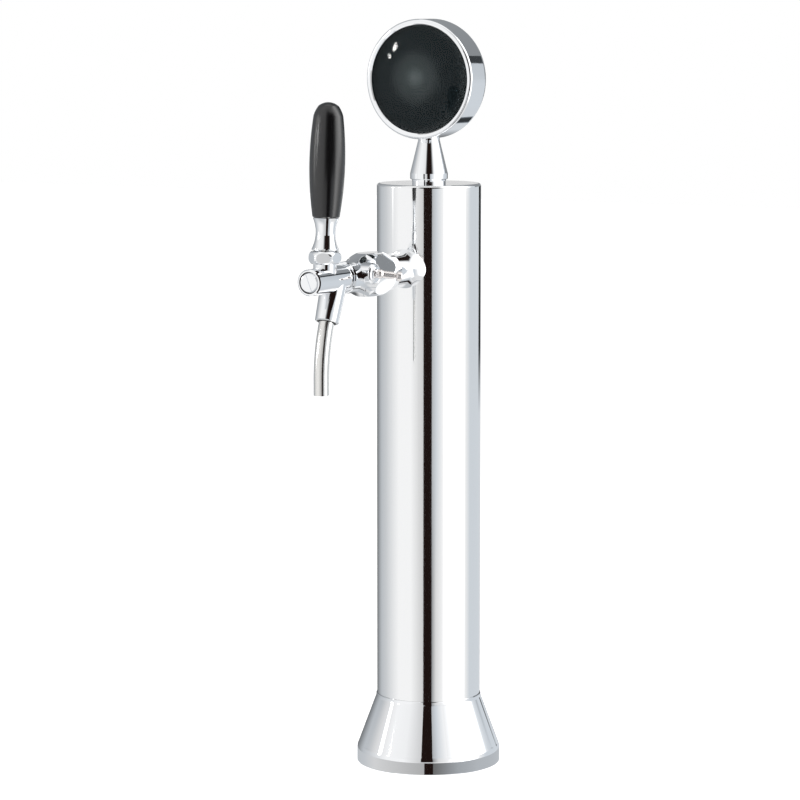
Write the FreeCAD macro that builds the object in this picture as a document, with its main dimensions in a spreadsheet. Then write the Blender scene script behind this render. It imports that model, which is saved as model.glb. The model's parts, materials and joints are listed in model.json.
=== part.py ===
import FreeCAD, Part
import math
import os

import Sketcher
from FreeCAD import Placement, Rotation, Vector

# Beer tap tower: a polished column on a conical foot, a round medallion on top and one
# flow-control tap in front.  Millimetres, +Z up, origin under the middle of the foot.
# The tap points along -Y.  "L" below is a distance forward from the column's axis.

doc = FreeCAD.newDocument("beer_tap_tower")
sheet = doc.addObject("Spreadsheet::Sheet", "dims")

# ---------------------------------------------------------------- driving dimensions

DIMENSIONS = [
    # foot
    ("foot_radius", 52.8, "outside of the foot's band"),
    ("foot_band", 11.4, "height of the band under the cone"),
    ("skirt_top", 51.4, "height of the skirt's short neck"),
    ("skirt_wall", 1.2, "sheet of the skirt"),
    ("flange_thick", 6.0, "mounting flange"),
    ("flange_bore", 25.0, "radius left open for the beer line"),
    ("bolt_circle", 44.0, "radius of the circle the four tapped holes lie on"),
    ("bolt_core", 3.4, "radius of an M8 tapped hole"),
    # column
    ("column_radius", 38.0, "outside of the column"),
    ("column_wall", 1.5, "tube wall"),
    ("column_top", 429.0, "height of the closed top"),
    ("column_edge", 2.0, "rounding of the top edge"),
    # medallion on its stem
    ("badge_height", 504.6, "height of the medallion's middle"),
    ("badge_radius", 43.3, "outside of the housing"),
    ("lens_radius", 39.2, "edge of the lens"),
    ("stem_foot_radius", 13.7, "lower end of the stem"),
    ("stem_neck_radius", 7.8, "upper end of the stem"),
    # tap
    ("tap_height", 369.0, "height of the tap's axis"),
    ("shank_radius", 10.25, "outside of the shank"),
    ("barrel_radius", 9.3, "outside of the valve barrel"),
    ("barrel_front", 172.5, "L of the barrel's front face"),
    ("barrel_bore", 6.6, "bore the piston runs in"),
    ("bell_radius", 16.9, "widest turned radius of the compensator body"),
    ("bell_flats", 15.2, "half the distance across its spanner flats"),
    ("lever_front", 150.5, "L of the handle's pivot"),
    ("pivot_rise", 12.0, "pivot above the tap's axis"),
    ("lean", 3.0, "degrees the closed handle leans back"),
    ("spindle_front", 110.0, "L of the flow spindle"),
    ("spindle_rise", 2.5, "flow spindle above the tap's axis"),
    ("eccentric", 3.0, "throw of the spindle's pin"),
    # spout
    ("spout_radius", 5.35, "outside of the spout tube"),
    ("spout_wall", 0.8, "spout tube wall"),
    ("spout_bend", 112.0, "bend radius of the spout's middle line"),
    ("spout_turn", 21.0, "degrees the spout leans where it leaves the nozzle"),
    ("spout_front", 155.8, "L of the spout's straight end"),
    ("spout_drop", 79.4, "spout tip below the tap's axis"),
    ("spout_straight", 10.0, "straight length at the tip"),
    # beer line
    ("line_radius", 4.75, "stem the cooler's line pushes onto, and the tap's bores"),
    ("hose_radius", 5.5, "outside of the hose inside the column"),
    ("line_bore", 3.35, "inside of that hose"),
]


class Length:
    """A number that also carries the sheet formula it comes from."""

    def __init__(self, value, text=None):
        self.value = float(value)
        self.text = text or "%.6g" % float(value)

    def __add__(self, other):
        other = length(other)
        return Length(self.value + other.value, "(%s + %s)" % (self.text, other.text))

    def __sub__(self, other):
        other = length(other)
        return Length(self.value - other.value, "(%s - %s)" % (self.text, other.text))

    def __mul__(self, factor):
        return Length(self.value * factor, "(%s * %.6g)" % (self.text, factor))

    def __neg__(self):
        return Length(-self.value, "(0 - %s)" % self.text)


def length(value):
    return value if isinstance(value, Length) else Length(value)


class Sizes:
    """The sheet's entries by name, such as d.column_radius."""


d = Sizes()
for row, (alias, value, note) in enumerate(DIMENSIONS, start=1):
    sheet.set("A%d" % row, alias)
    sheet.set("B%d" % row, str(value))
    sheet.set("C%d" % row, note)
    sheet.setAlias("B%d" % row, alias)
    setattr(d, alias, Length(value, "dims." + alias))
doc.recompute()

# ------------------------------------------------------------------------- helpers


def bind(target, name, value):
    """Sets a property, and ties it to the sheet where its value comes from there."""
    value = length(value)
    setattr(target, name, value.value)
    if "dims." in value.text:
        target.setExpression(name, value.text)


def place(target, x=0, y=0, z=0, turn=None):
    """Places an object, its position tied to the sheet."""
    x, y, z = length(x), length(y), length(z)
    turn = turn or Rotation()
    target.Placement = Placement(Vector(x.value, y.value, z.value), turn)
    for axis, value in (("x", x), ("y", y), ("z", z)):
        if "dims." in value.text:
            target.setExpression("Placement.Base." + axis, value.text)
    return target


FORWARD = Rotation(Vector(1, 0, 0), 90)      # turned parts along the tap: height becomes L
SIDEWAYS = Rotation(Vector(0, 1, 0), 90)     # turned parts along +X


def origin_plane(body, role):
    for feature in body.Origin.OriginFeatures:
        if feature.Role == role:
            return feature
    raise RuntimeError("no plane " + role)


def arc_through(start, via, end):
    """An anticlockwise arc over three points, and whether it begins at the start."""
    circle = Part.Circle(start, via, end)
    centre = circle.Center
    first, middle, last = (
        math.atan2(point.y - centre.y, point.x - centre.x) for point in (start, via, end)
    )
    full = 2 * math.pi
    forward = (middle - first) % full < (last - first) % full
    if not forward:
        first, last = last, first
    upright_circle = Part.Circle(centre, Vector(0, 0, 1), circle.Radius)
    return Part.ArcOfCircle(upright_circle, first, last), forward


def dome(radius, low, high):
    """A point half way up a spherical cap that runs from (radius, low) to (0, high)."""
    radius, low, high = length(radius).value, length(low).value, length(high).value
    rise = high - low
    sphere = (radius * radius + rise * rise) / (2 * rise)
    return radius / 2, high - sphere + math.sqrt(sphere * sphere - radius * radius / 4)


def turned(name, outline):
    """A Body revolved about its own Z axis.

    outline lists corners as (radius, height).  A corner that begins an arc carries the
    point the arc passes through as a third entry.
    """
    body = doc.addObject("PartDesign::Body", name)
    sketch = body.newObject("Sketcher::SketchObject", name + "_outline")
    sketch.AttachmentSupport = [(origin_plane(body, "XZ_Plane"), "")]
    sketch.MapMode = "FlatFace"
    corners = [(length(c[0]), length(c[1])) for c in outline]
    flat = [Vector(r.value, height.value, 0) for r, height in corners]
    count = len(flat)
    arcs = []
    for i, corner in enumerate(outline):
        start, end = flat[i], flat[(i + 1) % count]
        if len(corner) > 2:
            via = Vector(length(corner[2][0]).value, length(corner[2][1]).value, 0)
            curve, forward = arc_through(start, via, end)
            edge = sketch.addGeometry(curve, False)
            arcs.append((edge, curve))
        else:
            sketch.addGeometry(Part.LineSegment(start, end), False)
            forward = True
        outline_ends.setdefault(name, []).append((1, 2) if forward else (2, 1))
    ends = outline_ends[name]
    for i in range(count):
        follow = (i + 1) % count
        sketch.addConstraint(
            Sketcher.Constraint("Coincident", i, ends[i][1], follow, ends[follow][0])
        )
    for i, (r, height) in enumerate(corners):
        for kind, value in (("DistanceX", r), ("DistanceY", height)):
            item = sketch.addConstraint(
                Sketcher.Constraint(kind, i, ends[i][0], value.value)
            )
            if "dims." in value.text:
                sketch.setExpression("Constraints[%d]" % item, value.text)
    for edge, curve in arcs:
        if abs(curve.Center.x) < 1e-6:
            sketch.addConstraint(Sketcher.Constraint("DistanceX", edge, 3, 0))
        else:
            sketch.addConstraint(Sketcher.Constraint("Radius", edge, curve.Radius))
    revolve = body.newObject("PartDesign::Revolution", name + "_turned")
    revolve.Profile = sketch
    revolve.ReferenceAxis = (sketch, ["V_Axis"])
    revolve.Angle = 360
    body.Tip = revolve
    return body


outline_ends = {}


def tube(name, inner, outer, low, high):
    """A plain ring or, with inner 0, a plain disc."""
    return turned(name, [(inner, low), (outer, low), (outer, high), (inner, high)])


def rod(name, radius, low, high):
    """A cylinder along its own Z from low to high."""
    made = doc.addObject("Part::Cylinder", name)
    low, high = length(low), length(high)
    bind(made, "Radius", radius)
    bind(made, "Height", high - low)
    return made


def along_tap(name, radius, low, high, rise=0):
    """A cylinder along the tap from L = low to L = high."""
    made = rod(name, radius, low, high)
    return place(made, 0, -length(low), d.tap_height + rise, FORWARD)


def upright(name, radius, low, high, x=0, y=0):
    return place(rod(name, radius, low, high), x, y, low)


def across(name, radius, low, high, y=0, z=0):
    """A cylinder along +X from x = low to x = high."""
    return place(rod(name, radius, low, high), low, y, z, SIDEWAYS)


def hexagon(name, half_flats, low, high):
    """A hexagonal prism along its own Z; two of its flats face its own +Y and -Y."""
    made = doc.addObject("Part::Prism", name)
    made.Polygon = 6
    half_flats, low, high = length(half_flats), length(low), length(high)
    bind(made, "Circumradius", half_flats * (2 / math.sqrt(3)))
    bind(made, "Height", high - low)
    return made


def hexagon_along_tap(name, half_flats, low, high):
    made = hexagon(name, half_flats, low, high)
    return place(made, 0, -length(low), d.tap_height, FORWARD)


def block(name, x, y, z):
    """A box between the (low, high) pairs given."""
    made = doc.addObject("Part::Box", name)
    for prop, (low, high) in (("Length", x), ("Width", y), ("Height", z)):
        bind(made, prop, length(high) - low)
    return place(made, x[0], y[0], z[0])


def cut(name, base, *tools):
    """Takes the tools away from the base."""
    result = doc.addObject("Part::Cut", name)
    result.Base = base
    result.Tool = tools[0] if len(tools) == 1 else join(name + "_tools", *tools)
    return result


def join(name, *shapes):
    result = doc.addObject("Part::MultiFuse", name)
    result.Shapes = list(shapes)
    return result


def common(name, first, second):
    result = doc.addObject("Part::MultiCommon", name)
    result.Shapes = [first, second]
    return result


def group(name, *shapes):
    """Several equal pieces kept as one node."""
    result = doc.addObject("Part::Compound", name)
    result.Links = list(shapes)
    return result


NODES = []


def node(made, name):
    """Names a finished sub-part."""
    made.Label = name
    NODES.append((name, made))
    return made


def around(count, radius, start):
    """Points (x, y, angle) evenly round a circle."""
    for i in range(count):
        angle = start + 360.0 * i / count
        radians = math.radians(angle)
        yield radius * math.cos(radians), radius * math.sin(radians), angle


# --------------------------------------------------------------------------- foot

SCREW_HEIGHT = 22.0
SCREW_CORE = 2.1


def base_flange():
    collar_out = d.column_radius - d.column_wall - 0.1
    blank = turned("flange_blank", [
        (d.flange_bore, 0), (30, 0), (30, 2), (36, 2), (36, 0),
        (d.foot_radius - d.skirt_wall, 0),
        (d.foot_radius - d.skirt_wall, d.flange_thick),
        (collar_out, d.flange_thick), (collar_out, 34), (32.4, 34),
        (32.4, d.flange_thick), (d.flange_bore, d.flange_thick),
    ])
    holes = []
    for i, (x, y, angle) in enumerate(around(4, 1.0, 45)):
        hole = rod("flange_hole_%d" % i, d.bolt_core, -1, 8)
        place(hole, d.bolt_circle * x, d.bolt_circle * y, -1)
        holes.append(hole)
    for i, (x, y, angle) in enumerate(around(3, 30.0, 90)):
        hole = rod("collar_hole_%d" % i, SCREW_CORE, 0, 8)
        outward = Rotation(Vector(0, 0, 1), angle) * SIDEWAYS
        holes.append(place(hole, x, y, SCREW_HEIGHT, outward))
    node(cut("flange", blank, *holes), "base_flange")


def base_rings():
    node(tube("gasket", 30, 36, 0, 2), "base_gasket")
    node(turned("seal", [
        (d.column_radius, d.skirt_top - 8.4), (d.column_radius + 1.6, d.skirt_top - 8.4),
        (d.column_radius + 0.35, d.skirt_top - 4.9), (d.column_radius, d.skirt_top - 4.9),
    ]), "neck_seal")


def base_skirt():
    inside = d.foot_radius - d.skirt_wall
    throat = d.column_radius + 0.15
    soft = (d.foot_radius - 0.2, d.foot_band + 0.1)
    fillet = (throat + 0.6, d.skirt_top - 2.3)
    blank = turned("skirt", [
        (inside, 0), (d.foot_radius - 0.5, 0), (d.foot_radius, 0.5),
        (d.foot_radius, d.foot_band - 2.4, soft), (d.foot_radius - 1, d.foot_band + 2.4),
        (throat + 0.8, d.skirt_top - 2.9, fillet), (throat + 0.5, d.skirt_top - 1.7),
        (throat + 0.5, d.skirt_top - 0.4), (throat + 0.2, d.skirt_top),
        (throat, d.skirt_top), (throat, d.skirt_top - 4.2),
        (inside, d.foot_band - 0.8),
    ])
    node(blank, "base_skirt")


def column_screws():
    screws = []
    for i, (x, y, angle) in enumerate(around(3, 1.0, 90)):
        made = turned("screw_%d" % i, [
            (0, 0), (SCREW_CORE, 0), (SCREW_CORE, 6), (4.2, 6), (4.2, 7.6),
            (3.2, 8.6), (1.5, 8.6), (1.5, 7.2), (0, 7.2),
        ])
        outward = Rotation(Vector(0, 0, 1), angle) * SIDEWAYS
        place(made, (d.column_radius - 6) * x, (d.column_radius - 6) * y,
              SCREW_HEIGHT, outward)
        screws.append(made)
    node(group("screws", *screws), "column_screws")


# ------------------------------------------------------------------------- column


def column():
    inner = d.column_radius - d.column_wall
    edge = d.column_edge
    soft = 0.7071
    blank = turned("column_blank", [
        (inner, d.flange_thick), (d.column_radius, d.flange_thick),
        (d.column_radius, d.column_top - edge,
         (d.column_radius - edge * (1 - soft), d.column_top - edge * (1 - soft))),
        (d.column_radius - edge, d.column_top), (4.2, d.column_top),
        (4.2, d.column_top - d.column_wall), (inner, d.column_top - d.column_wall),
    ])
    holes = [along_tap("column_port", d.shank_radius + 0.1, 30, 45)]
    for i, (x, y, angle) in enumerate(around(3, 34.0, 90)):
        hole = rod("column_hole_%d" % i, 2.7, 0, 8)
        outward = Rotation(Vector(0, 0, 1), angle) * SIDEWAYS
        holes.append(place(hole, x, y, SCREW_HEIGHT, outward))
    node(cut("column", blank, *holes), "column_tube")
    plate_top = d.column_top - d.column_wall
    node(tube("plate", 4.2, inner, plate_top - 6, plate_top), "top_plate")


# ---------------------------------------------------------------------- medallion


def badge_part(name, outline):
    """A turned part of the medallion; its heights are L."""
    return place(turned(name, outline), 0, 0, d.badge_height, FORWARD)


def medallion_stem():
    base = d.column_top
    blank = turned("stem_blank", [
        (4.2, base), (12.4, base), (12.4, base + 2.8), (d.stem_foot_radius - 0.4, base + 2.8),
        (d.stem_foot_radius, base + 3.3), (d.stem_foot_radius, base + 7.2),
        (d.stem_neck_radius, base + 31.5), (d.stem_neck_radius, base + 36), (4.2, base + 36),
    ])
    disc = rod("stem_saddle", d.badge_radius, -20, 20)
    place(disc, 0, 20, d.badge_height, FORWARD)
    node(cut("stem", blank, disc), "medallion_stem")
    stud_top = d.badge_height - 33
    node(upright("stud", 4.0, base - 17, stud_top), "stem_stud")
    under = base - d.column_wall - 6
    node(place(tube("washer", 4.0, 8.0, 0, 1.6), 0, 0, under - 1.6), "stem_washer")
    nut = place(hexagon("nut_blank", 6.5, 0, 6.5), 0, 0, under - 8.1)
    node(cut("nut", nut, upright("nut_bore", 4.0, under - 9, under - 1)), "stem_nut")


def medallion():
    edge = d.badge_radius
    pan = badge_part("pan", [
        (0, -11.5), (edge - 7, -11.5, (edge - 2, -9.4)), (edge, -4.5), (edge, 13.5),
        (edge - 2, 13.5), (edge - 2, -4.5), (edge - 7.6, -9.5), (0, -9.5),
    ])
    boss = upright("pan_boss", 7.0, d.badge_height - d.badge_radius + 1.5,
                   d.badge_height - 33)
    whole = join("housing_whole", pan, boss)
    hole = upright("pan_tap", 4.0, d.badge_height - 50, d.badge_height - 32)
    node(cut("housing", whole, hole), "medallion_housing")
    node(badge_part("bezel", [
        (d.lens_radius, 12), (edge - 2, 12), (edge - 2, 13.5), (edge, 13.5),
        (edge, 14.4, (edge - 0.55, 15.75)), (edge - 1.9, 16.3), (d.lens_radius + 0.7, 16.3),
        (d.lens_radius, 15.6),
    ]), "medallion_bezel")
    node(badge_part("disc", [(0, 11.2), (edge - 2, 11.2), (edge - 2, 12), (0, 12)]),
         "badge_disc")
    ring = badge_part("spacer_blank", [
        (edge - 4, -4.5), (edge - 2, -4.5), (edge - 2, 11.2), (edge - 4, 11.2),
    ])
    room = upright("spacer_room", 7.4, d.badge_height - 50, d.badge_height - 30)
    node(cut("spacer", ring, room), "badge_spacer")
    node(badge_part("lens", [
        (0, 12), (d.lens_radius, 12), (d.lens_radius, 14.8, dome(d.lens_radius, 14.8, 18.4)),
        (0, 18.4),
    ]), "medallion_lens")


# --------------------------------------------------------------- shank and beer line


def tap_part(name, outline):
    """A turned part along the tap; its heights are L."""
    return place(turned(name, outline), 0, 0, d.tap_height, FORWARD)


def shank():
    node(tap_part("shank", [
        (d.line_radius, 12), (d.shank_radius, 12), (d.shank_radius, 64.5), (9.3, 64.5),
        (9.3, 69), (d.line_radius, 69),
    ]), "shank")
    sleeve = d.shank_radius + 1.7
    ring = tap_part("rosette_blank", [
        (d.shank_radius, 33), (17.2, 33, (13.24, 40)), (sleeve, 47.6), (sleeve, 62.9),
        (sleeve - 0.6, 63.5), (d.shank_radius, 63.5),
    ])
    column_outside = upright("rosette_saddle", d.column_radius, 340, 400)
    node(cut("rosette", ring, column_outside), "shank_rosette")
    ring = tap_part("saddle_blank", [
        (d.shank_radius, 29), (15, 29), (15, 40), (d.shank_radius, 40),
    ])
    column_inside = upright("saddle_limit", d.column_radius - d.column_wall, 340, 400)
    node(common("saddle", ring, column_inside), "saddle_washer")
    nut = hexagon_along_tap("locknut_blank", 15.5, 21.5, 29)
    bore = along_tap("locknut_bore", d.shank_radius, 21, 30)
    node(cut("locknut", nut, bore), "shank_locknut")


def beer_line():
    level = along_tap("elbow_level", 6.5, 0, 12)
    collar = along_tap("elbow_collar", 10.0, 10, 12)
    corner = doc.addObject("Part::Sphere", "elbow_corner")
    corner.Radius = 6.5
    place(corner, 0, 0, d.tap_height)
    down = upright("elbow_down", 7.2, d.tap_height - 22, d.tap_height - 6)
    throat = upright("elbow_throat", 6.5, d.tap_height - 8, d.tap_height)
    solid = join("elbow_solid", level, collar, corner, throat, down)
    bore_level = along_tap("elbow_bore_level", d.line_bore, 0, 13)
    bore_down = upright("elbow_bore_down", d.line_bore, d.tap_height - 23, d.tap_height)
    socket = upright("elbow_socket", d.hose_radius, d.tap_height - 23, d.tap_height - 8)
    node(cut("elbow", solid, bore_level, bore_down, socket), "line_elbow")
    nut = hexagon_along_tap("union_blank", 13.0, 7.5, 20)
    lip = along_tap("union_lip", 6.6, 7, 11)
    thread = along_tap("union_thread", d.shank_radius, 10, 21)
    node(cut("union", nut, lip, thread), "elbow_nut")
    node(tube("line", d.line_bore, d.hose_radius, 45, 361), "beer_line")
    node(turned("tail", [
        (2.4, 14), (d.line_radius - 0.6, 14), (d.line_radius, 14.6), (d.line_radius, 44),
        (d.line_bore, 44), (d.line_bore, 58), (2.4, 58),
    ]), "line_tail")
    node(tube("insulation", d.hose_radius, 16, 58, 338), "line_insulation")


# ------------------------------------------------------------------ tap: rear half


def coupling():
    blank = tap_part("coupling_blank", [
        (9.3, 64.5), (13.0, 64.5), (13.9, 65.4), (14.2, 71.2), (13.4, 72.2),
        (7.6, 72.2), (7.6, 71), (9.3, 71),
    ])
    flats = hexagon_along_tap("coupling_flats", 13.2, 60, 76)
    node(common("coupling", blank, flats), "coupling_nut")
    node(tap_part("coupling_seal", [
        (d.line_radius, 69), (8.6, 69), (8.6, 69.8), (d.line_radius, 69.8),
    ]), "coupling_gasket")


def spindle_spot():
    """Where the flow spindle's axis crosses the tap's middle plane."""
    return -d.spindle_front, d.tap_height + d.spindle_rise


def compensator_body():
    wide = d.bell_radius
    blank = tap_part("bell_blank", [
        (0, 69.8), (8.6, 69.8), (8.6, 71), (7.5, 71), (7.5, 72.6),
        (13.8, 72.6, (15.9, 78)), (wide, 87, (16.6, 94)), (15.3, 100.5, (12.6, 108.5)),
        (11.4, 118), (11.3, 125.4), (10.7, 126), (0, 126),
    ])
    flats = hexagon_along_tap("bell_flats", d.bell_flats, 55, 130)
    shaped = common("bell_shaped", blank, flats)
    y, z = spindle_spot()
    boss = place(turned("bell_boss", [
        (0, 8), (7.6, 8), (7.6, 15.2, (7.0, 16.9)), (5.6, 17.6), (0, 17.6),
    ]), 0, y, z, SIDEWAYS)
    hollow = tap_part("bell_hollow", [
        (0, 69), (d.line_radius, 69), (d.line_radius, 74.5), (11.5, 86), (11.5, 105.5),
        (9, 115.6), (9, 117.6), (5.5, 119.5), (7.5, 119.5), (7.5, 127), (0, 127),
    ])
    bore = across("bell_bore", 4.3, 4, 18, y, z)
    whole = join("bell_whole", shaped, boss)
    node(cut("bell", whole, hollow, bore), "compensator_body")


def compensator_inside():
    reach = d.spindle_front + d.eccentric * math.sqrt(0.5)
    blank = tap_part("cone_blank", [
        (0, 80), (2.5, 80), (9.5, 97), (9.5, 100.5), (4, 102.5), (4, 114.4), (2.5, 114.4),
        (2.5, 121.5), (0, 121.5),
    ])
    slot = block("cone_slot", (1.4, 5), (-(reach + 1.35), -(reach - 1.35)),
                 (d.tap_height - 5, d.tap_height + 5))
    node(cut("cone", blank, slot), "compensator_cone")
    plate = tap_part("guide_blank", [(2.55, 115.6), (9, 115.6), (9, 117.6), (2.55, 117.6)])
    ports = []
    for i, (x, z, angle) in enumerate(around(5, 5.8, 90)):
        port = rod("guide_port_%d" % i, 1.7, 0, 4)
        ports.append(place(port, x, -115, d.tap_height + z, FORWARD))
    node(cut("guide", plate, *ports), "cone_guide")


def flow_control():
    y, z = spindle_spot()
    stem = place(turned("spindle_stem", [
        (0, 4.5), (4.2, 4.5), (4.2, 12), (2.5, 12), (2.5, 21), (0, 21),
    ]), 0, y, z, SIDEWAYS)
    throw = d.eccentric * math.sqrt(0.5)
    pin = across("spindle_pin", 1.0, 1.7, 5, y - throw, z - throw)
    node(join("spindle", stem, pin), "flow_spindle")
    node(place(tube("spindle_ring", 2.5, 4.3, 12.4, 14.2), 0, y, z, SIDEWAYS), "spindle_seal")
    node(place(turned("gland", [
        (2.6, 14.4), (4.3, 14.4), (4.3, 17.6), (5.4, 17.6), (5.4, 18.2), (5.0, 18.6),
        (2.6, 18.6),
    ]), 0, y, z, SIDEWAYS), "spindle_gland")
    hub = doc.addObject("Part::Sphere", "lever_hub")
    hub.Radius = 3.4
    place(hub, 20.8, y, z)
    arm = turned("lever_arm", [
        (0, 1), (2.6, 1), (2.6, 9.8), (2.2, 10.2), (1.7, 10.4), (1.7, 11.4),
        (3.0, 11.7), (3.5, 12.4), (3.5, 14.6, (3.2, 15.3)), (2.6, 15.6), (0, 15.6),
    ])
    splay = Rotation(Vector(0, 0, 1), 38) * Rotation(Vector(0, 1, 0), 90 + 8)
    place(arm, 20.8, y, z, splay)
    solid = join("lever_solid", hub, arm)
    bore = across("lever_bore", 2.5, 16, 21, y, z)
    node(cut("lever", solid, bore), "flow_lever")


# ----------------------------------------------------------------- tap: front half

SEAT = 133.0
NOZZLE_TIP_RADIUS = 8.3


def spout_arc(name, radius, beyond):
    """The spout's bent length as a solid rod, running `beyond` degrees past the bend."""
    bend = doc.addObject("Part::Torus", name)
    bind(bend, "Radius1", d.spout_bend)
    bind(bend, "Radius2", radius)
    bind(bend, "Angle3", d.spout_turn + beyond)
    # the torus runs from its own +X towards +Y; stand it in the tap's middle plane
    stand = Rotation(Vector(0, 0, 1), -90) * Rotation(Vector(1, 0, 0), 90)
    level = d.tap_height - d.spout_drop + d.spout_straight
    return place(bend, 0, -(d.spout_front - d.spout_bend), level, stand)


def nozzle_spot():
    """L and height of the spout's middle where it leaves the nozzle, and its lean."""
    lean = math.radians(d.spout_turn.value)
    front = d.spout_front - d.spout_bend * (1 - math.cos(lean))
    level = d.tap_height - d.spout_drop + d.spout_straight + d.spout_bend * math.sin(lean)
    return front, level, Rotation(Vector(1, 0, 0), -d.spout_turn.value)


def valve_body():
    bore = d.barrel_bore
    blank = tap_part("barrel", [
        (0, 119.5), (7.5, 119.5), (7.5, 126.4), (d.barrel_radius - 0.5, 126.4),
        (d.barrel_radius, 126.9), (d.barrel_radius, d.barrel_front - 0.8),
        (d.barrel_radius - 0.8, d.barrel_front), (0, d.barrel_front),
    ])
    pivot = d.tap_height + d.pivot_rise
    neck = place(turned("neck", [
        (0, -8), (8, -8), (8, -0.3), (7.4, -0.3), (7.4, 4.5), (0, 4.5),
    ]), 0, -d.lever_front, pivot)
    front, level, lean = nozzle_spot()
    nozzle = place(turned("nozzle", [
        (0, 0), (NOZZLE_TIP_RADIUS - 0.6, 0), (NOZZLE_TIP_RADIUS, 0.6),
        (d.barrel_radius - 0.1, 27.5), (0, 31.2),
    ]), 0, -front, level, lean)
    solid = join("valve_solid", blank, neck, nozzle)
    way = tap_part("valve_way", [
        (0, 119), (5.5, 119), (5.5, SEAT), (4.2, SEAT), (4.2, SEAT + 2),
        (bore, SEAT + 2), (bore, 168.6), (bore + 1, 168.6), (bore + 1, 174), (0, 174),
    ])
    well = place(turned("neck_well", [(0, -12), (6, -12), (6, 5), (0, 5)]),
                 0, -d.lever_front, pivot)
    drain = place(turned("nozzle_way", [
        (0, -1), (6.9, -1), (6.9, 1.8), (4.4, 1.8), (4.4, 27), (0, 27),
    ]), 0, -front, level, lean)
    socket = spout_arc("nozzle_socket", d.spout_radius, 4)
    node(cut("valve", solid, way, well, drain, socket), "valve_body")


def valve_inside():
    inner = d.barrel_bore - 0.3
    tip = d.lever_front + d.pivot_rise * math.sin(math.radians(d.lean.value))
    blank = tap_part("piston_blank", [
        (0, 129.6), (4.6, 129.6), (4.6, SEAT - 2), (2.6, SEAT - 2), (2.6, 145.4),
        (inner, 145.4), (inner, 146.3), (inner - 1, 146.3), (inner - 1, 147.5),
        (inner, 147.5), (inner, 158.4), (inner - 1, 158.4), (inner - 1, 159.6),
        (inner, 159.6), (inner, 161.4), (0, 161.4),
    ])
    top = block("piston_flat", (-8, 8), (-157.2, -148.6),
                (d.tap_height + 1.8, d.tap_height + 9))
    pocket = block("piston_pocket", (-2.6, 2.6), (-(tip + 2.5), -(tip - 2.5)),
                   (d.tap_height - 3.2, d.tap_height + 9))
    node(cut("piston", blank, top, pocket), "valve_piston")
    node(tap_part("washer_ring", [
        (2.6, SEAT - 2), (5.1, SEAT - 2), (5.1, SEAT), (2.6, SEAT),
    ]), "piston_washer")
    rings = [
        tap_part("oring_%d" % i, [
            (inner - 1, low), (inner + 0.25, low), (inner + 0.25, low + 1.2),
            (inner - 1, low + 1.2),
        ])
        for i, low in enumerate((146.3, 158.4))
    ]
    node(group("orings", *rings), "piston_orings")


def front_plug():
    bore = d.barrel_bore
    blank = tap_part("plug_blank", [
        (0, 164), (bore, 164), (bore, 168.6), (bore + 0.5, 168.6),
        (bore + 0.5, d.barrel_front - 0.9), (bore - 0.2, d.barrel_front + 0.2),
        (bore - 0.5, d.barrel_front + 0.3), (0, d.barrel_front + 0.3),
    ])
    slot = doc.addObject("Part::Box", "plug_slot")
    slot.Length, slot.Width, slot.Height = 12.4, 0.8, 2
    tilt = FORWARD * Rotation(Vector(0, 0, 1), 112)
    spot = tilt.multVec(Vector(-6.2, -0.4, 0))
    place(slot, spot.x, -(d.barrel_front - 1.0) + spot.y, d.tap_height + spot.z, tilt)
    node(cut("plug", blank, slot), "front_plug")
    node(tap_part("plug_ring", [
        (bore + 0.5, 169), (bore + 1, 169), (bore + 1, 171.6), (bore + 0.5, 171.6),
    ]), "plug_oring")


def spout():
    outer = join(
        "spout_outer",
        spout_arc("spout_outer_bend", d.spout_radius, 4),
        upright("spout_outer_end", d.spout_radius, d.tap_height - d.spout_drop,
                d.tap_height - d.spout_drop + d.spout_straight, 0, -d.spout_front),
    )
    inner = d.spout_radius - d.spout_wall
    hollow = join(
        "spout_inner",
        spout_arc("spout_inner_bend", inner, 5),
        upright("spout_inner_end", inner, d.tap_height - d.spout_drop - 1,
                d.tap_height - d.spout_drop + d.spout_straight, 0, -d.spout_front),
    )
    node(cut("spout", outer, hollow), "spout_tube")
    front, level, lean = nozzle_spot()
    ring = place(turned("spout_ring", [(0, 0.3), (6.9, 0.3), (6.9, 1.8), (0, 1.8)]),
                 0, -front, level, lean)
    node(cut("spout_seal_cut", ring, spout_arc("spout_ring_way", d.spout_radius, 4)),
         "spout_seal")


# --------------------------------------------------------------- handle and bonnet


def ball(name, radius, z=0):
    made = doc.addObject("Part::Sphere", name)
    made.Radius = radius
    return place(made, 0, -d.lever_front, d.tap_height + d.pivot_rise + z)


def bonnet():
    pivot = d.tap_height + d.pivot_rise
    seat = place(turned("seat_blank", [(4.7, -5.2), (6, -5.2), (6, 0), (2.1, 0)]),
                 0, -d.lever_front, pivot)
    ring = place(turned("ring_blank", [(3.1, 0), (6, 0), (6, 4.6), (5.4, 4.6)]),
                 0, -d.lever_front, pivot)
    for blank, label in ((seat, "lever_seat"), (ring, "lever_ring")):
        room = ball(label + "_room", 4.65)
        pin = across(label + "_pin", 1.3, -8, 8, -d.lever_front, pivot)
        node(cut(label + "_cut", blank, room, pin), label)
    blank = place(turned("bonnet_blank", [
        (7.4, -0.3), (9.2, -0.3, (10.95, 1.6)), (11.3, 4.2, (10.7, 7.0)), (9.3, 8.6),
        (8.3, 8.6), (5.6, 4.6), (7.4, 4.6),
    ]), 0, -d.lever_front, pivot)
    flats = place(hexagon("bonnet_flats", 10.25, -2, 10), 0, -d.lever_front, pivot - 2,
                  Rotation(Vector(0, 0, 1), 24))
    node(common("bonnet", blank, flats), "bonnet_nut")


def handle_part(name, outline):
    """A turned part of the handle, leaning back with it; its heights are from the pivot."""
    lean = Rotation(Vector(1, 0, 0), -d.lean.value)
    return place(turned(name, outline), 0, -d.lever_front, d.tap_height + d.pivot_rise, lean)


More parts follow.
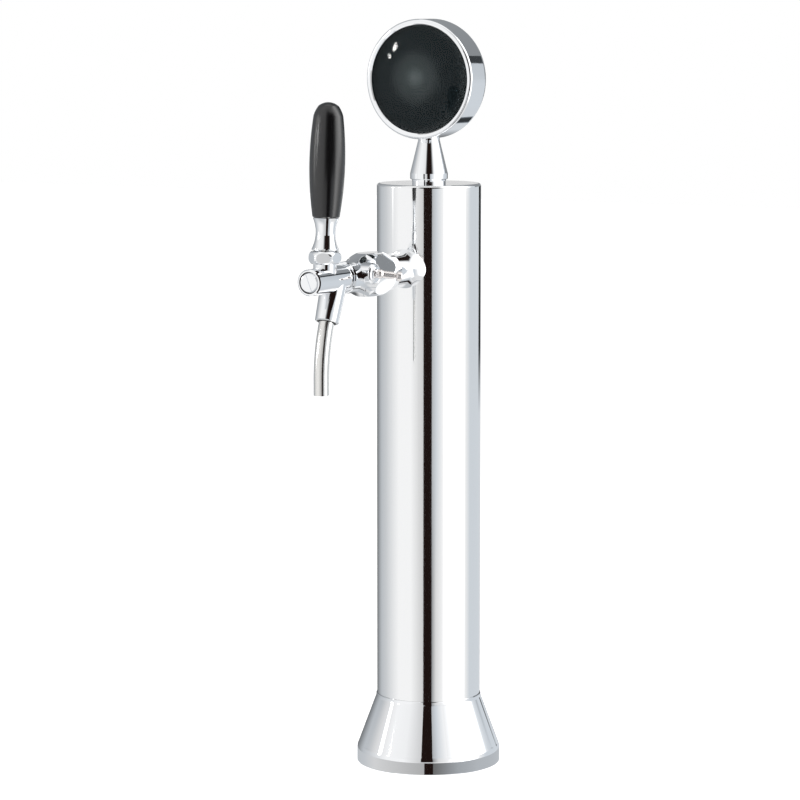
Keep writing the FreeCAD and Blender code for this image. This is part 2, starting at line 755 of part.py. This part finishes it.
def handle():
    shaft = handle_part("lever_shaft", [
        (0, -12), (1.6, -12), (1.6, -4), (2.5, -3.6), (2.5, 12), (3, 12.5), (3, 62), (0, 62),
    ])
    reach = d.pivot_rise.value
    lean = math.radians(d.lean.value)
    tip = doc.addObject("Part::Sphere", "lever_tip")
    tip.Radius = 2.1
    place(tip, 0, -(d.lever_front + reach * math.sin(lean)),
          d.tap_height + reach * (1 - math.cos(lean)))
    whole = join("lever_whole", shaft, tip, ball("lever_ball", 4.6))
    pivot = d.tap_height + d.pivot_rise
    pin_way = across("lever_pin_way", 1.25, -8, 8, -d.lever_front, pivot)
    node(cut("handle_shaft", whole, pin_way), "handle_lever")
    node(across("lever_cross", 1.25, -5.7, 5.7, -d.lever_front, pivot), "lever_pin")
    ferrule = handle_part("ferrule_blank", [
        (3, 9), (9.3, 9), (9.5, 9.4), (9.45, 10, (6.85, 21.4)), (9.0, 31.0), (8.6, 31.5),
        (3, 31.5),
    ])
    node(cut("ferrule", ferrule, ball("ferrule_hollow", 13.1)), "handle_ferrule")
    node(handle_part("insert", [(3, 33), (5, 33), (5, 60), (3, 60)]), "grip_insert")
    node(handle_part("grip", [
        (3, 31.7), (9.0, 31.7), (9.45, 32.2, (12.35, 70)), (10.3, 101.5, (9.1, 104.8)),
        (7.0, 108.3, dome(7.0, 108.3, 110.9)), (0, 110.9), (0, 64), (3, 64),
        (3, 60), (5, 60), (5, 33), (3, 33),
    ]), "handle_grip")


# ---------------------------------------------------------------------- build, check

base_flange()
base_rings()
base_skirt()
column_screws()
column()
medallion_stem()
medallion()
shank()
beer_line()
coupling()
compensator_body()
compensator_inside()
flow_control()
valve_body()
valve_inside()
front_plug()
spout()
bonnet()
handle()
doc.recompute()

problems = []
for item in doc.Objects:
    if "Invalid" in item.State or "Error" in item.State:
        problems.append(item.Name + " " + ",".join(item.State))
for name, made in NODES:
    if made.Shape.isNull() or not made.Shape.isValid() or made.Shape.Volume <= 0:
        problems.append(name + " has no sound shape")
if problems:
    raise RuntimeError("; ".join(problems))

os.makedirs("parts", exist_ok=True)
for name, made in NODES:
    made.Shape.exportStep("parts/" + name + ".step")
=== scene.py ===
import bpy
import json
import math
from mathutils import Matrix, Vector

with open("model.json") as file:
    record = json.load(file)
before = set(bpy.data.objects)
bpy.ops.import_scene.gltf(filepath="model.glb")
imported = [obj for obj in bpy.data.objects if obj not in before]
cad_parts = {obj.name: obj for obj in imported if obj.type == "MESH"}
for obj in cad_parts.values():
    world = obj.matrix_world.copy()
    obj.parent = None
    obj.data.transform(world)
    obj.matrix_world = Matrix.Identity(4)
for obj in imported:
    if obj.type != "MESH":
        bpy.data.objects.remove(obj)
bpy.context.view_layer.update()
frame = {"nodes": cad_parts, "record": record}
nodes = frame["nodes"]

# Middle and reach of the painted highlight that glows on the badge card behind the lens.
PAINTED_GLOW_MIDDLE = (-0.004, -0.012, 0.5056)
PAINTED_GLOW_REACH = 0.040

# ------------------------------------------------------------------------ materials


def material(name, colour, metallic=0.0, roughness=0.3, **more):
    """A Principled material; extra sockets are given by name, spaces as underscores."""
    made = bpy.data.materials.new(name)
    made.use_nodes = True
    shader = made.node_tree.nodes["Principled BSDF"]
    shader.inputs["Base Color"].default_value = (*colour, 1)
    shader.inputs["Metallic"].default_value = metallic
    shader.inputs["Roughness"].default_value = roughness
    for key, value in more.items():
        shader.inputs[key.replace("_", " ")].default_value = value
    return made


def grain(made, across, along=None, detail=3.0):
    """Noise over the surface, in cells per metre; along is the count along the height."""
    tree = made.node_tree
    place = tree.nodes.new("ShaderNodeTexCoord")
    stretch = tree.nodes.new("ShaderNodeMapping")
    stretch.inputs["Scale"].default_value = (across, across, along or across)
    noise = tree.nodes.new("ShaderNodeTexNoise")
    noise.inputs["Scale"].default_value = 1.0
    noise.inputs["Detail"].default_value = detail
    tree.links.new(place.outputs["Object"], stretch.inputs["Vector"])
    tree.links.new(stretch.outputs["Vector"], noise.inputs["Vector"])
    return noise.outputs["Fac"]


def any_ray(tree, *kinds):
    """A socket that is 1 on the named kinds of ray, two or more, and 0 on others."""
    paths = tree.nodes.new("ShaderNodeLightPath")
    result = paths.outputs[kinds[0]]
    for kind in kinds[1:]:
        either = tree.nodes.new("ShaderNodeMath")
        either.operation = "MAXIMUM"
        tree.links.new(result, either.inputs[0])
        tree.links.new(paths.outputs[kind], either.inputs[1])
        result = either.outputs[0]
    return result


def worn(made, source, low, high):
    """Roughness that follows a grain, from low to high."""
    tree = made.node_tree
    spread = tree.nodes.new("ShaderNodeMapRange")
    spread.inputs["From Min"].default_value = 0.3
    spread.inputs["From Max"].default_value = 0.7
    spread.inputs["To Min"].default_value = low
    spread.inputs["To Max"].default_value = high
    tree.links.new(source, spread.inputs["Value"])
    shader = tree.nodes["Principled BSDF"]
    tree.links.new(spread.outputs["Result"], shader.inputs["Roughness"])
    return made


def relief(made, source, height):
    """Tiny hills that follow a grain, height in metres."""
    tree = made.node_tree
    bump = tree.nodes.new("ShaderNodeBump")
    bump.inputs["Strength"].default_value = 1.0
    bump.inputs["Distance"].default_value = height
    tree.links.new(source, bump.inputs["Height"])
    shader = tree.nodes["Principled BSDF"]
    tree.links.new(bump.outputs["Normal"], shader.inputs["Normal"])
    return made


def mottled(made, source, dark, light):
    """A base colour that follows a grain between two colours."""
    tree = made.node_tree
    ramp = tree.nodes.new("ShaderNodeValToRGB")
    for stop, (at, colour) in zip(ramp.color_ramp.elements, ((0.35, dark), (0.65, light))):
        stop.position = at
        stop.color = (*colour, 1)
    tree.links.new(source, ramp.inputs["Fac"])
    shader = tree.nodes["Principled BSDF"]
    tree.links.new(ramp.outputs["Color"], shader.inputs["Base Color"])
    return made


def chrome():
    """Bright plating on cast brass, with the faintest waves."""
    made = material("chrome", (0.90, 0.91, 0.925), 1.0, 0.03)
    worn(made, grain(made, 140), 0.02, 0.045)
    return relief(made, grain(made, 90, detail=1.0), 6e-6)


def polished_column():
    """Drawn tube, buffed along its length: faint upright lines."""
    made = material("polished_column", (0.90, 0.905, 0.91), 1.0, 0.06)
    lines = grain(made, 1400, 9)
    worn(made, lines, 0.05, 0.08)
    return relief(made, lines, 4e-7)


def stainless():
    """Spout tube, shank, lever and spindle: fine brushed lines, upright."""
    made = material("stainless", (0.80, 0.79, 0.77), 1.0, 0.16)
    lines = grain(made, 1600, 60)
    worn(made, lines, 0.12, 0.20)
    return relief(made, lines, 8e-7)


def satin_nickel():
    """The flow lever: a softer, warmer finish than the chrome round it."""
    made = material("satin_nickel", (0.93, 0.89, 0.87), 1.0, 0.30)
    worn(made, grain(made, 900), 0.26, 0.34)
    return relief(made, grain(made, 1500), 6e-7)


def zinc_steel():
    """Dull plating, a little cloudy."""
    made = material("zinc_steel", (0.62, 0.63, 0.65), 1.0, 0.35)
    worn(made, grain(made, 350), 0.28, 0.45)
    return mottled(made, grain(made, 160), (0.55, 0.56, 0.58), (0.67, 0.68, 0.69))


def brass():
    """Turned brass, gone a little uneven in colour."""
    made = material("brass", (0.78, 0.60, 0.30), 1.0, 0.25)
    worn(made, grain(made, 260), 0.18, 0.34)
    return mottled(made, grain(made, 120), (0.70, 0.52, 0.25), (0.80, 0.63, 0.33))


def black_grip():
    """Moulded and polished, with the slight ripple of a thick moulding."""
    made = material("black_grip", (0.003, 0.003, 0.004), 0.0, 0.22, IOR=1.65)
    worn(made, grain(made, 900), 0.20, 0.26)
    return relief(made, grain(made, 220), 6e-6)


def dull(name, colour, roughness, cells, hills):
    """Rubber, foam or plain plastic with a fine skin."""
    made = material(name, colour, 0.0, roughness)
    skin = grain(made, cells)
    worn(made, skin, roughness - 0.06, roughness + 0.06)
    return relief(made, skin, hills)


def badge_black():
    """Bare card behind the lens, dark grey-green, with a painted highlight glowing in its
    middle and a painted lighter rim.
    """
    made = material("badge_black", (0.010, 0.015, 0.017), 0.0, 0.5, Specular_IOR_Level=0.0)
    tree = made.node_tree
    place = tree.nodes.new("ShaderNodeTexCoord")
    apart = tree.nodes.new("ShaderNodeVectorMath")
    apart.operation = "DISTANCE"
    apart.inputs[1].default_value = PAINTED_GLOW_MIDDLE
    share = tree.nodes.new("ShaderNodeMapRange")
    share.inputs["From Max"].default_value = PAINTED_GLOW_REACH
    ramp = tree.nodes.new("ShaderNodeValToRGB")
    ramp.color_ramp.interpolation = "EASE"
    # Painted highlight: a light middle fading to the card's own dark grey-green, then a
    # painted lighter rim.
    stops = ((0.0, (0.098, 0.116, 0.118)), (0.26, (0.043, 0.053, 0.055)),
             (0.6, (0.011, 0.016, 0.018)), (0.85, (0.010, 0.015, 0.017)),
             (1.0, (0.024, 0.030, 0.032)))
    for at, colour in stops[1:-1]:
        ramp.color_ramp.elements.new(at)
    for stop, (at, colour) in zip(ramp.color_ramp.elements, stops):
        stop.position = at
        stop.color = (*colour, 1)
    tree.links.new(place.outputs["Object"], apart.inputs[0])
    tree.links.new(apart.outputs["Value"], share.inputs["Value"])
    tree.links.new(share.outputs["Result"], ramp.inputs["Fac"])
    shader = tree.nodes["Principled BSDF"]
    tree.links.new(ramp.outputs["Color"], shader.inputs["Base Color"])
    return worn(made, grain(made, 900), 0.45, 0.6)


def clear_lens():
    """The clear dome; light on its way to the card behind passes it unbent."""
    made = material("clear_lens", (1, 1, 1), 0.0, 0.03, IOR=1.22, Transmission_Weight=1.0)
    worn(made, grain(made, 40, detail=1.0), 0.02, 0.04)
    tree = made.node_tree
    lighting = any_ray(tree, "Is Shadow Ray", "Is Diffuse Ray")
    through = tree.nodes.new("ShaderNodeBsdfTransparent")
    choose = tree.nodes.new("ShaderNodeMixShader")
    tree.links.new(lighting, choose.inputs["Fac"])
    tree.links.new(tree.nodes["Principled BSDF"].outputs[0], choose.inputs[1])
    tree.links.new(through.outputs[0], choose.inputs[2])
    tree.links.new(choose.outputs[0], tree.nodes["Material Output"].inputs["Surface"])
    return made


MATERIALS = {
    "chrome": chrome(),
    "polished_column": polished_column(),
    "stainless": stainless(),
    "zinc_steel": zinc_steel(),
    "brass": brass(),
    "black_grip": black_grip(),
    "black_rubber": dull("black_rubber", (0.02, 0.02, 0.02), 0.55, 800, 1e-5),
    "white_plastic": dull("white_plastic", (0.8, 0.8, 0.78), 0.4, 500, 4e-6),
    # The badge card's colour carries a painted highlight in its middle and a painted lighter
    # rim.
    "badge_black": badge_black(),
    "spacer_plastic": dull("spacer_plastic", (0.05, 0.05, 0.05), 0.5, 500, 4e-6),
    "clear_lens": clear_lens(),
    "line_tube": dull("line_tube", (0.75, 0.77, 0.8), 0.3, 300, 2e-6),
    "foam": dull("foam", (0.04, 0.04, 0.042), 0.88, 1500, 8e-5),
}
slot_of = {part["node"]: part["material_slot"] for part in frame["record"]["subparts"]}
for name, obj in nodes.items():
    obj.data.materials.clear()
    obj.data.materials.append(MATERIALS[slot_of[name]])
nodes["flow_lever"].data.materials[0] = satin_nickel()

# --------------------------------------------------------------------------- studio
# Tones that only reflections see stand round the object as upright walls and cards, as
# the boards round a product table do.  Angles go round from the camera's direction,
# positive to its right; elevations are degrees seen from the axis at height MIDDLE.

CAMERA_TURN = math.radians(28.5)
CAMERA_AWAY = 2.372
CAMERA_HEIGHT = 0.564
CAMERA_DOWN = math.radians(7.078)
CAMERA_LEFT = math.radians(0.51)
MIDDLE = 0.3
FAR = 3.0
INSIDE = FAR - 0.1
NEAR = 0.33


def emitter(name):
    """A glow whose tone is painted on the mesh."""
    made = bpy.data.materials.new(name)
    made.use_nodes = True
    tree = made.node_tree
    tree.nodes.clear()
    out = tree.nodes.new("ShaderNodeOutputMaterial")
    glow = tree.nodes.new("ShaderNodeEmission")
    glow.inputs["Strength"].default_value = 1.0
    tone = tree.nodes.new("ShaderNodeAttribute")
    tone.attribute_name = "tone"
    tree.links.new(tone.outputs["Color"], glow.inputs["Color"])
    tree.links.new(glow.outputs[0], out.inputs["Surface"])
    return made


REFLECTED = emitter("reflected_tones")


def reflected(name, verts, faces, shades):
    """A mesh that only reflections see, with one tone to each corner."""
    mesh = bpy.data.meshes.new(name)
    mesh.from_pydata(verts, [], faces)
    tones = mesh.color_attributes.new("tone", "FLOAT_COLOR", "POINT")
    for item, shade in zip(tones.data, shades):
        item.color = (*shade, 1)
    obj = bpy.data.objects.new(name, mesh)
    bpy.context.collection.objects.link(obj)
    obj.data.materials.append(REFLECTED)
    obj.visible_camera = False
    obj.visible_diffuse = False
    obj.visible_shadow = False


def tone_at(stops, degrees, after):
    """The tone at an angle; where two stops share it, the one before or after the edge."""
    for (first, low), (last, high) in zip(stops, stops[1:]):
        inside = first <= degrees < last if after else first < degrees <= last
        if inside:
            part = (degrees - first) / (last - first)
            return tuple(p + (q - p) * part for p, q in zip(low, high))
    return stops[-1][1] if after else stops[0][1]


def wall(name, low, high, foot, head=None, away=FAR):
    """An upright curved wall from low to high, its tones going from foot to head."""
    head = head or foot
    start, end = foot[0][0], foot[-1][0]
    angles = set(range(math.ceil(start), math.floor(end) + 1, 3))
    angles |= {stop[0] for stop in foot + head if start <= stop[0] <= end}
    verts, faces, shades = [], [], []
    for degrees in sorted(angles):
        turn = CAMERA_TURN + math.radians(degrees)
        for after in (False, True):
            for elevation, stops in ((low, foot), (high, head)):
                height = MIDDLE + away * math.tan(math.radians(elevation))
                verts.append((away * math.sin(turn), -away * math.cos(turn), height))
                shades.append(tone_at(stops, degrees, after))
    for corner in range(2, len(verts) - 4, 4):
        faces.append((corner, corner + 2, corner + 3, corner + 1))
    reflected(name, verts, faces, shades)


def spot(name, degrees, height, half_wide, half_high, middle, rim):
    """An oval card, its tone falling softly from the middle to the rim; sizes in metres."""
    turn = CAMERA_TURN + math.radians(degrees)
    side = Vector((math.cos(turn), math.sin(turn), 0))
    centre = Vector((INSIDE * math.sin(turn), -INSIDE * math.cos(turn), height))
    rings, around = 8, 32
    verts, shades = [tuple(centre)], [middle]
    for ring in range(1, rings + 1):
        out = ring / rings
        fall = 0.5 + 0.5 * math.cos(math.pi * out)
        for step in range(around):
            angle = 2 * math.pi * step / around
            lift = Vector((0, 0, half_high * out * math.sin(angle)))
            verts.append(tuple(centre + side * (half_wide * out * math.cos(angle)) + lift))
            shades.append(tuple(r + (m - r) * fall for m, r in zip(middle, rim)))
    faces = [(0, 1 + step, 1 + (step + 1) % around) for step in range(around)]
    for ring in range(rings - 1):
        base = 1 + ring * around
        for step in range(around):
            follow = (step + 1) % around
            faces.append((base + step, base + around + step,
                          base + around + follow, base + follow))
    reflected(name, verts, faces, shades)


def grey(value, cool=0.0):
    """A neutral tone, or a slightly blue one."""
    return value * (1 - cool), value, value * (1 + cool)


# The boards: dark behind the object, a soft light card to the left, a grey front with a
# black gap round the camera, a bright narrow card to the right, and grey beyond it.
# LOW stands lower than the floor and near, where little but the foot's band reflects it.
BLACK = (0.013, 0.007, 0.006)
GAP_LEFT = -11
GAP_RIGHT = 6.5
BEHIND = 145
AROUND = [
    (-180, grey(0.10, 0.05)), (-150, grey(0.30, 0.05)), (-130, grey(0.55, 0.05)),
    (-110, grey(0.65, 0.03)), (-70, grey(1.0)), (-40, grey(1.0)), (GAP_LEFT, grey(0.65)),
    (GAP_RIGHT, grey(0.70)), (30, grey(1.05)), (40, grey(1.4)), (50, grey(2.4)),
    (65, grey(3.0)), (90, grey(0.95)), (105, grey(0.70, 0.06)), (BEHIND, grey(0.70, 0.06)),
]
CARD = [
    (BEHIND, grey(0.01)), (160, grey(0.03, 0.1)), (180, grey(0.4, 0.05)),
]
OPEN = [(BEHIND, grey(0.70, 0.06)), (165, grey(0.70, 0.05)), (180, grey(0.10))]
HIGH = [
    (-180, grey(0.30, 0.05)), (-150, grey(0.35, 0.05)), (-120, grey(0.5, 0.05)),
    (-100, grey(0.75)), (-70, grey(1.0)), (-40, grey(0.95)), (-15, grey(0.70)),
    (0, grey(0.65)), (30, grey(0.90)), (55, grey(1.45)), (80, grey(3.1)), (95, grey(3.1)),
    (110, grey(0.9, 0.03)), (120, grey(0.65, 0.06)), (126, grey(0.6, 0.06)),
    (126, grey(0.05, 0.1)), (130, grey(0.05, 0.1)), (130, grey(0.28, 0.05)),
    (180, grey(0.30, 0.05)),
]
LOW = [
    (-180, grey(0.5, 0.05)), (-120, grey(0.6, 0.04)), (-90, grey(0.70)), (-50, grey(0.60)),
    (-6, grey(0.45)), (-6, BLACK), (7, BLACK), (7, grey(0.15)), (45, grey(0.40, 0.05)),
    (80, grey(0.5, 0.05)), (180, grey(0.55, 0.05)),
]
UNDER = [
    (-180, grey(0.75)), (-130, grey(0.60, 0.04)), (-20, grey(0.60, 0.03)), (20, grey(0.80)),
    (110, grey(0.80)), (120, grey(0.60, 0.04)), (BEHIND, grey(0.65, 0.04)), (180, grey(0.8)),
]
STRIP = [
    (GAP_LEFT, BLACK), (GAP_RIGHT, BLACK), (GAP_RIGHT, grey(0.50, 0.03)),
    (15, grey(0.70, 0.05)), (30, grey(1.0)),
]
STRIP_FOOT = [
    (GAP_LEFT, BLACK), (GAP_RIGHT, BLACK), (GAP_RIGHT, grey(0.28, 0.03)),
    (15, grey(0.75)), (30, grey(1.0)),
]
STRIP_HEAD = [
    (-28, grey(1.1)), (-16, grey(0.05)), (-12, BLACK), (16, BLACK), (22, grey(0.2)),
    (30, grey(0.9)),
]
EDGE = [
    (146, grey(0.3, 0.1)), (148, grey(0.04, 0.1)), (153, grey(0.04, 0.1)),
    (155, grey(0.3, 0.1)),
]
SLOT = [(160, grey(0.75)), (200, grey(0.75))]

wall("wall_column", -9, -1, AROUND)
wall("wall_middle", -19.5, -9, AROUND)
wall("wall_card", -6, -1, CARD)
wall("wall_opening", -8, -6, OPEN, CARD)
wall("wall_open", -19.5, -8, OPEN)
wall("wall_rising", -1, 6, AROUND + CARD, HIGH)
wall("wall_high", 6, 62, HIGH)
wall("wall_low", -49.4, -46.9, LOW, away=NEAR)
wall("wall_under", -60, -33, UNDER)
wall("wall_sinking", -33, -19.5, UNDER, AROUND + OPEN)
wall("strip", -20, 21.5, STRIP, away=NEAR)
wall("strip_low", -34, -20, STRIP_FOOT, STRIP, away=NEAR)
wall("strip_foot", -45, -34, STRIP_FOOT, away=NEAR)
wall("strip_head", 21.5, 50, STRIP_HEAD, away=NEAR)
wall("card_edge", -32, -23, EDGE, away=INSIDE)
wall("card_slot", 4.8, 6.8, SLOT, away=INSIDE)
spot("soft_glow", -87, 0.75, 0.22, 0.6, grey(7.0), grey(0.92))
spot("window_tall", -68.5, 0.997, 0.075, 0.10, grey(130), grey(2.0))
spot("window_small", -70.6, 0.824, 0.05, 0.06, grey(90), grey(2.0))

world = bpy.data.worlds.new("studio")
bpy.context.scene.world = world
world.use_nodes = True
tree = world.node_tree
tree.nodes.clear()
out = tree.nodes.new("ShaderNodeOutputWorld")
seen = any_ray(tree, "Is Camera Ray", "Is Glossy Ray", "Is Transmission Ray")
lit = tree.nodes.new("ShaderNodeBackground")
lit.inputs["Color"].default_value = (1, 1, 1, 1)
lit.inputs["Strength"].default_value = 0.55
white = tree.nodes.new("ShaderNodeBackground")
white.inputs["Color"].default_value = (1, 1, 1, 1)
white.inputs["Strength"].default_value = 1.0
mix = tree.nodes.new("ShaderNodeMixShader")
tree.links.new(seen, mix.inputs["Fac"])
tree.links.new(lit.outputs[0], mix.inputs[1])
tree.links.new(white.outputs[0], mix.inputs[2])
tree.links.new(mix.outputs[0], out.inputs["Surface"])


def lamp(name, place, aim, size, power):
    """A soft rectangular lamp that reflections don't see."""
    light = bpy.data.lights.new(name, "AREA")
    light.shape = "RECTANGLE"
    light.size, light.size_y = size
    light.energy = power
    obj = bpy.data.objects.new(name, light)
    obj.location = place
    obj.rotation_euler = (Vector(aim) - Vector(place)).to_track_quat("-Z", "Y").to_euler()
    obj.visible_glossy = False
    bpy.context.collection.objects.link(obj)


lamp("key", (-1.6, -1.6, 1.6), (0, 0, MIDDLE), (1.0, 1.4), 18)
lamp("fill", (2.2, -0.9, 1.2), (0, 0, MIDDLE), (1.0, 1.4), 12)

floor_mesh = bpy.data.meshes.new("floor")
floor_mesh.from_pydata([(-6, -6, 0), (6, -6, 0), (6, 6, 0), (-6, 6, 0)], [], [(0, 1, 2, 3)])
floor = bpy.data.objects.new("floor", floor_mesh)
bpy.context.collection.objects.link(floor)
floor_look = material("floor", (0.9, 0.9, 0.9), 0.0, 0.9)
tree = floor_look.node_tree
shader = tree.nodes["Principled BSDF"]
out = tree.nodes["Material Output"]
glow = tree.nodes.new("ShaderNodeEmission")
glow.inputs["Strength"].default_value = 0.55
adding = tree.nodes.new("ShaderNodeAddShader")
tree.links.new(shader.outputs[0], adding.inputs[0])
tree.links.new(glow.outputs[0], adding.inputs[1])
choose = tree.nodes.new("ShaderNodeMixShader")
tree.links.new(any_ray(tree, "Is Camera Ray", "Is Glossy Ray"), choose.inputs["Fac"])
tree.links.new(shader.outputs[0], choose.inputs[1])
tree.links.new(adding.outputs[0], choose.inputs[2])
tree.links.new(choose.outputs[0], out.inputs["Surface"])
floor.data.materials.append(floor_look)
floor.visible_glossy = False

# --------------------------------------------------------------------------- camera

camera = bpy.data.cameras.new("camera")
camera.sensor_width = 36
camera.lens = 146.3
camera.clip_end = 50
eye = bpy.data.objects.new("camera", camera)
bpy.context.collection.objects.link(eye)
eye.location = (CAMERA_AWAY * math.sin(CAMERA_TURN), -CAMERA_AWAY * math.cos(CAMERA_TURN),
                CAMERA_HEIGHT)
eye.rotation_euler = (math.radians(90) - CAMERA_DOWN, 0, CAMERA_TURN + CAMERA_LEFT)
bpy.context.scene.camera = eye
bpy.context.scene.view_settings.view_transform = "Standard"
